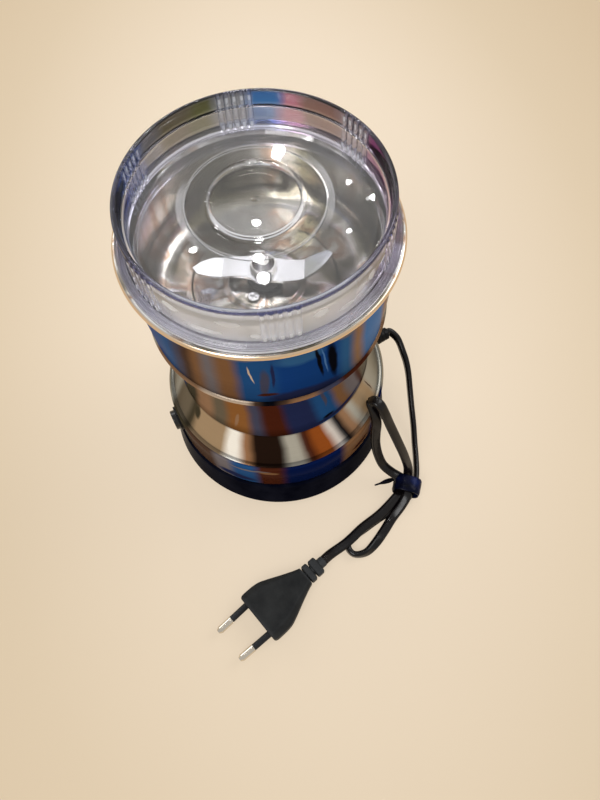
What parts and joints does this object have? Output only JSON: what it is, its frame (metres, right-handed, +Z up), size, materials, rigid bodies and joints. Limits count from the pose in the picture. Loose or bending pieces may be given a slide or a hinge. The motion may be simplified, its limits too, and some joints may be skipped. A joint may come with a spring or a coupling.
{
  "type": "electric spice grinder",
  "caption": "Small electric grinder for spices: waisted steel body on a black base, open steel bowl with a spinning blade, clear lift-off cap, push button, tied mains cord with plug.",
  "frame": {"origin": "centre of the circle that the feet stand on, at the floor", "axes": "+Z up along the motor shaft; the plug lies towards -Y and the cord leaves the body towards +X"},
  "size_m": [0.1386, 0.2015, 0.1848],
  "materials": {
    "clear_plastic": "clear, polished",
    "bowl_steel": "polished",
    "cup_steel": "polished",
    "bead_steel": "polished",
    "body_steel": "satin",
    "base_plastic": "polished",
    "foot_rubber": "matte",
    "screw_steel": "plated",
    "deck_plastic": "matte",
    "bowl_screw_steel": "polished",
    "seal_rubber": "matte",
    "blade_steel": "polished",
    "spacer_plastic": "matte",
    "nut_steel": "polished",
    "shaft_steel": "ground",
    "ring_steel": "oiled",
    "rotor_steel": "laminated",
    "rotor_copper": "enamelled",
    "commutator_copper": "machined",
    "fan_plastic": "moulded",
    "bearing_steel": "ground",
    "bush_bronze": "sintered",
    "stator_steel": "laminated",
    "coil_copper": "enamelled",
    "bracket_metal": "cast",
    "lower_bracket_metal": "cast",
    "holder_brass": "drawn",
    "brush_carbon": "matte",
    "spring_steel": "wire",
    "bolt_steel": "plated",
    "mount_rubber": "matte",
    "button_plastic": "polished",
    "button_spring_steel": "wire",
    "switch_plastic": "moulded",
    "switch_nut_steel": "plated",
    "contact_brass": "stamped",
    "live_insulation": "satin",
    "neutral_insulation": "satin",
    "motor_insulation": "satin",
    "relief_plastic": "satin",
    "cord_plastic": "satin",
    "tie_plastic": "satin",
    "plug_plastic": "matte",
    "pin_metal": "nickel plated",
    "sleeve_plastic": "satin"
  },
  "bodies": {
    "body": {"grinding_bowl": "bowl_steel", "upper_shell": "cup_steel", "bead_ring": "bead_steel", "lower_shell": "body_steel", "base_cover": "base_plastic", "feet": "foot_rubber", "base_screws": "screw_steel", "bowl_deck": "deck_plastic", "bowl_screws": "bowl_screw_steel", "shaft_seal": "seal_rubber", "upper_bearing": "bearing_steel", "lower_bush": "bush_bronze", "stator_core": "stator_steel", "field_coils": "coil_copper", "upper_bracket": "bracket_metal", "lower_bracket": "lower_bracket_metal", "brush_holders": "holder_brass", "carbon_brushes": "brush_carbon", "brush_springs": "spring_steel", "motor_bolts": "bolt_steel", "motor_mounts": "mount_rubber", "button_spring": "button_spring_steel", "switch_housing": "switch_plastic", "switch_nut": "switch_nut_steel", "switch_contacts": "contact_brass", "live_lead": "live_insulation", "neutral_lead": "neutral_insulation", "motor_lead": "motor_insulation", "strain_relief": "relief_plastic", "cord": "cord_plastic", "cord_tie": "tie_plastic", "plug_body": "plug_plastic", "plug_pins": "pin_metal", "pin_sleeves": "sleeve_plastic"},
    "lid": {"lid": "clear_plastic"},
    "rotor": {"blade": "blade_steel", "blade_spacer": "spacer_plastic", "blade_nut": "nut_steel", "motor_shaft": "shaft_steel", "retaining_rings": "ring_steel", "rotor_core": "rotor_steel", "rotor_winding": "rotor_copper", "commutator": "commutator_copper", "cooling_fan": "fan_plastic"},
    "button": {"switch_button": "button_plastic"}
  },
  "joints": [
    {"name": "lid_lift", "type": "slide", "parent": "body", "child": "lid", "axis": [0, 0, 1], "range_m": [0, 0.08]},
    {"name": "blade_spin", "type": "hinge", "parent": "body", "child": "rotor", "pos_m": [0, 0, 0.1], "axis": [0, 0, 1], "continuous": true},
    {"name": "button_press", "type": "slide", "parent": "body", "child": "button", "axis": [0.9455, 0.3256, 0], "range_m": [0, 0.0018], "stiffness_N_per_m": 800, "springref_m": -0.001, "deforming": ["button_spring"]}
  ]
}
